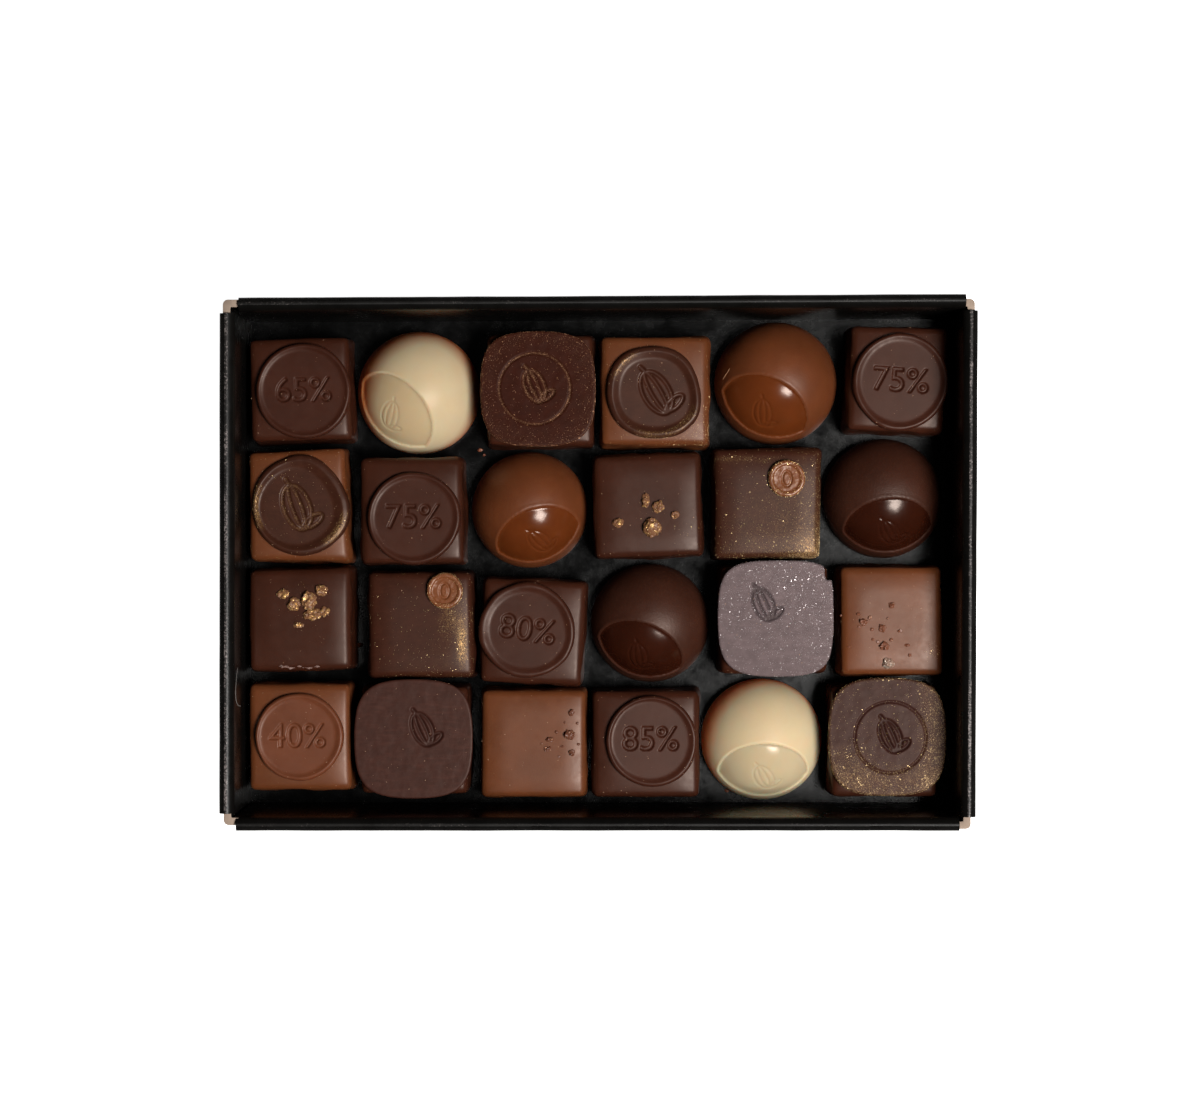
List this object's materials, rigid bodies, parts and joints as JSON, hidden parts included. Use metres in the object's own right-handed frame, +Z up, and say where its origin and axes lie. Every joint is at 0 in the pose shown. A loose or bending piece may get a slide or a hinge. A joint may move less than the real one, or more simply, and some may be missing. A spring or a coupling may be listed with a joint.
{
  "type": "box of chocolate pralines",
  "caption": "Open shallow card tray with a folded rim, filled with rows of square, domed and plate-topped chocolate pralines, some with round seals, buttons or nibs.",
  "frame": {"origin": "middle of the tray's underside", "axes": "+X along the tray to the right, +Y across it to the back wall, +Z up"},
  "size_m": [0.1798, 0.1272, 0.032],
  "materials": {
    "black_card": "black coated card with a soft gloss, pale worn creases and bare tan board at the corners",
    "dark_chocolate": "satin dark chocolate",
    "milk_chocolate": "satin milk chocolate",
    "white_chocolate": "satin white chocolate",
    "gold_dusted_chocolate": "dark chocolate dusted with fine gold powder",
    "silver_dusted_chocolate": "dark chocolate brushed with silver-lilac sparkling powder"
  },
  "bodies": {
    "root": {"tray": "black_card", "block_1_1": "dark_chocolate", "block_1_3": "dark_chocolate", "block_1_4": "milk_chocolate", "block_1_6": "dark_chocolate", "block_2_1": "milk_chocolate", "block_2_2": "dark_chocolate", "block_2_4": "dark_chocolate", "block_2_5": "gold_dusted_chocolate", "block_3_1": "dark_chocolate", "block_3_2": "gold_dusted_chocolate", "block_3_3": "dark_chocolate", "block_3_5": "dark_chocolate", "block_3_6": "milk_chocolate", "block_4_1": "milk_chocolate", "block_4_2": "dark_chocolate", "block_4_3": "milk_chocolate", "block_4_4": "dark_chocolate", "block_4_6": "dark_chocolate", "ball_1_2": "white_chocolate", "ball_1_5": "milk_chocolate", "ball_2_3": "milk_chocolate", "ball_2_6": "dark_chocolate", "ball_3_4": "dark_chocolate", "ball_4_5": "white_chocolate", "seal_1_1": "dark_chocolate", "seal_1_4": "dark_chocolate", "seal_1_6": "dark_chocolate", "seal_2_1": "dark_chocolate", "seal_2_2": "dark_chocolate", "seal_3_3": "dark_chocolate", "seal_4_1": "milk_chocolate", "seal_4_4": "dark_chocolate", "plate_1_3": "gold_dusted_chocolate", "plate_3_5": "silver_dusted_chocolate", "plate_4_2": "dark_chocolate", "plate_4_6": "gold_dusted_chocolate", "button_2_5": "milk_chocolate", "button_3_2": "milk_chocolate"}
  },
  "joints": []
}
